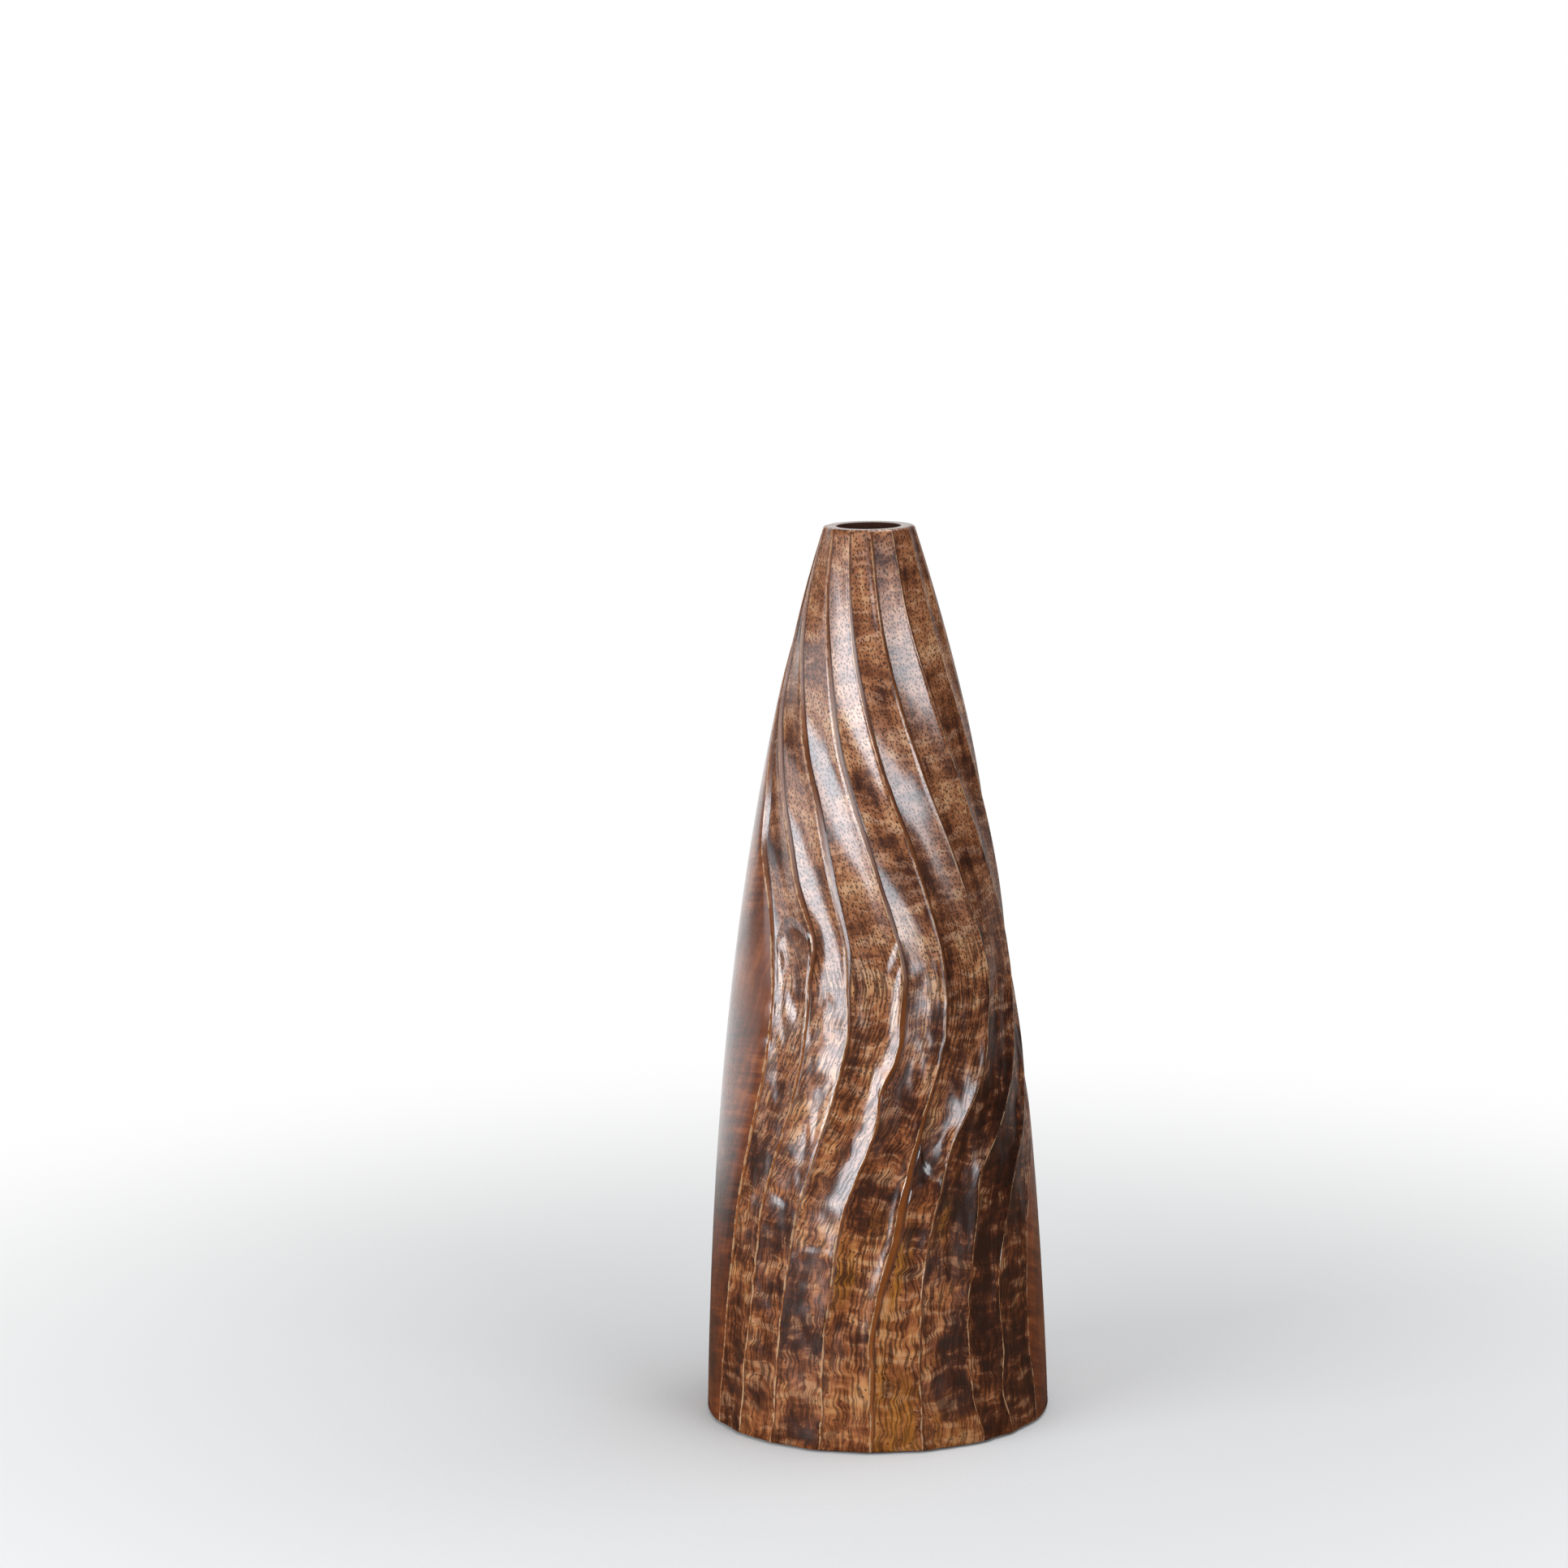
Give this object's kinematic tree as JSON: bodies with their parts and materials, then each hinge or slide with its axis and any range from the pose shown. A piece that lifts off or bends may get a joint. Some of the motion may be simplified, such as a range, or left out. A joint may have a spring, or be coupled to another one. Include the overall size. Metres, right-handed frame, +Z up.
{
  "type": "wooden vase",
  "caption": "Tall tapering turned wooden vase with a narrow mouth, carved swaying ridges round its front and a plain back, hollow inside, standing on a felt disc.",
  "frame": {"origin": "centre of the felt's underside, on the surface that the vase stands on", "axes": "+Z up along the turning axis, the carved front towards -Y, +X to the viewer's right"},
  "size_m": [0.1538, 0.1537, 0.4],
  "materials": {
    "lacquered_wood": "brown-stained figured hardwood under a glossy clear lacquer",
    "plain_wood": "plain turned hardwood, thin matt sealer",
    "felt": "pressed dark brown felt"
  },
  "bodies": {
    "root": {"carved_body": "lacquered_wood", "base_disc": "plain_wood", "felt_disc": "felt"}
  },
  "joints": []
}
